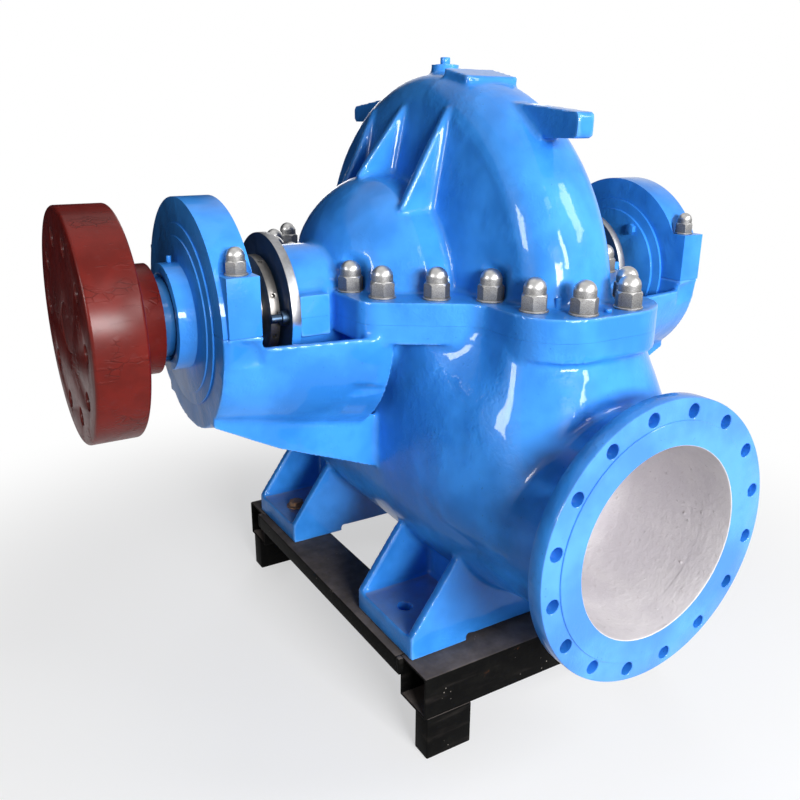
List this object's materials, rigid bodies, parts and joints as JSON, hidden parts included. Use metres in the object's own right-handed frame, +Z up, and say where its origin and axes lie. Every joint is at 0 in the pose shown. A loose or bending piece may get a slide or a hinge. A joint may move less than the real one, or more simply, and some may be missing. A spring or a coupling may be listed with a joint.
{
  "type": "split case pump",
  "caption": "Horizontal split case centrifugal pump with flanged side branches, bracket bearings and a coupling half, standing on a low steel frame.",
  "frame": {"origin": "on the floor, under the middle of the object's bounding box", "axes": "+X along the shaft from the coupling to the far bearing, +Y towards the discharge branch, +Z up"},
  "size_m": [1.508, 1.442, 1.41],
  "materials": {
    "blue_enamel": "glossy azure enamel over cast iron",
    "flange_blue": "lighter azure enamel",
    "bearing_steel": "ground steel",
    "machined_steel": "turned steel",
    "stainless": "satin stainless steel",
    "red_oxide": "dark red oxide paint",
    "frame_black": "dusty black paint",
    "rusty_bolt": "lightly rusted steel"
  },
  "bodies": {
    "pump_set": {"upper_casing": "blue_enamel", "lower_casing": "blue_enamel", "suction_branch": "flange_blue", "discharge_branch": "flange_blue", "drive_bracket": "blue_enamel", "far_bracket": "blue_enamel", "suction_feet": "blue_enamel", "discharge_feet": "blue_enamel", "drive_bearing_cap": "blue_enamel", "far_bearing_cap": "blue_enamel", "drive_bearing": "bearing_steel", "far_bearing": "bearing_steel", "drive_cover": "blue_enamel", "far_cover": "blue_enamel", "drive_inner_cover": "blue_enamel", "far_inner_cover": "blue_enamel", "drive_cover_screws": "blue_enamel", "far_cover_screws": "blue_enamel", "grease_nipple": "stainless", "drive_gland": "machined_steel", "far_gland": "machined_steel", "drive_gland_bolts": "stainless", "far_gland_bolts": "stainless", "casing_nuts": "stainless", "drive_cap_nuts": "stainless", "far_cap_nuts": "stainless", "guide_pins": "blue_enamel", "vent_plug": "blue_enamel", "suction_beam": "frame_black", "discharge_beam": "frame_black", "drive_side_beam": "frame_black", "far_side_beam": "frame_black", "leg_drive_suction": "frame_black", "leg_far_suction": "frame_black", "leg_drive_discharge": "frame_black", "leg_far_discharge": "frame_black", "foundation_bolt": "rusty_bolt"},
    "rotor": {"shaft": "machined_steel", "shaft_sleeves": "machined_steel", "drive_sleeve_nut": "machined_steel", "far_sleeve_nut": "machined_steel", "coupling_half": "red_oxide"}
  },
  "joints": [
    {"name": "rotor_spin", "type": "hinge", "parent": "pump_set", "child": "rotor", "pos_m": [0.1075, 0.021, 0.897], "axis": [1, 0, 0], "continuous": true}
  ]
}
